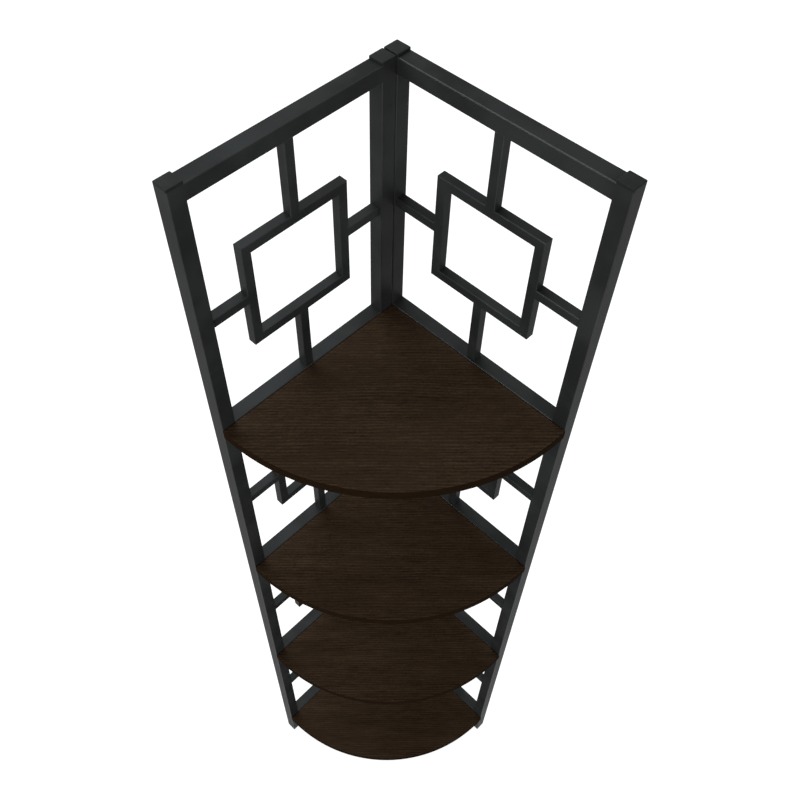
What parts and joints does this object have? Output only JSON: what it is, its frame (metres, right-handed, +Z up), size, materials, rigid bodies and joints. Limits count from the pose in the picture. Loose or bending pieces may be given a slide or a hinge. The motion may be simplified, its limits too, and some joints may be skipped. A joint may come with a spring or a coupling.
{
  "type": "corner shelf unit",
  "caption": "Tall free-standing corner shelf unit with two welded square-tube side panels, an open square lattice in each bay, and quarter-round wooden shelves.",
  "frame": {"origin": "on the floor, in the middle of the unit's square outline", "axes": "+Z up, the room's two walls at the -X side and the +Y side, the open side towards +X and -Y"},
  "size_m": [0.3104, 0.3104, 1.548],
  "materials": {
    "powder_coat": "satin black powder coat",
    "dark_wood": "dark brown stained wood grain, satin",
    "black_plastic": "matte black moulded plastic",
    "zinc_steel": "zinc plated"
  },
  "bodies": {
    "root": {"bolt_hole_plug_1": "black_plastic", "bolt_hole_plug_2": "black_plastic", "bolt_hole_plug_3": "black_plastic", "left_front_foot_cap": "black_plastic", "left_front_post": "powder_coat", "left_front_top_cap": "black_plastic", "left_lattice_1": "powder_coat", "left_lattice_2": "powder_coat", "left_lattice_3": "powder_coat", "left_lattice_4": "powder_coat", "left_rail_1": "powder_coat", "left_rail_2": "powder_coat", "left_rail_3": "powder_coat", "left_rail_4": "powder_coat", "left_rear_foot_cap": "black_plastic", "left_rear_post": "powder_coat", "left_rear_top_cap": "black_plastic", "left_top_rail": "powder_coat", "panel_bolt_1": "zinc_steel", "panel_bolt_2": "zinc_steel", "panel_bolt_3": "zinc_steel", "panel_nut_1": "zinc_steel", "panel_nut_2": "zinc_steel", "panel_nut_3": "zinc_steel", "right_front_foot_cap": "black_plastic", "right_front_post": "powder_coat", "right_front_top_cap": "black_plastic", "right_lattice_1": "powder_coat", "right_lattice_2": "powder_coat", "right_lattice_3": "powder_coat", "right_lattice_4": "powder_coat", "right_rail_1": "powder_coat", "right_rail_2": "powder_coat", "right_rail_3": "powder_coat", "right_rail_4": "powder_coat", "right_rear_foot_cap": "black_plastic", "right_rear_post": "powder_coat", "right_rear_top_cap": "black_plastic", "right_top_rail": "powder_coat", "shelf_1": "dark_wood", "shelf_1_screw_1": "zinc_steel", "shelf_1_screw_2": "zinc_steel", "shelf_1_screw_3": "zinc_steel", "shelf_1_screw_4": "zinc_steel", "shelf_2": "dark_wood", "shelf_2_screw_1": "zinc_steel", "shelf_2_screw_2": "zinc_steel", "shelf_2_screw_3": "zinc_steel", "shelf_2_screw_4": "zinc_steel", "shelf_3": "dark_wood", "shelf_3_screw_1": "zinc_steel", "shelf_3_screw_2": "zinc_steel", "shelf_3_screw_3": "zinc_steel", "shelf_3_screw_4": "zinc_steel", "shelf_4": "dark_wood", "shelf_4_screw_1": "zinc_steel", "shelf_4_screw_2": "zinc_steel", "shelf_4_screw_3": "zinc_steel", "shelf_4_screw_4": "zinc_steel"}
  },
  "joints": []
}
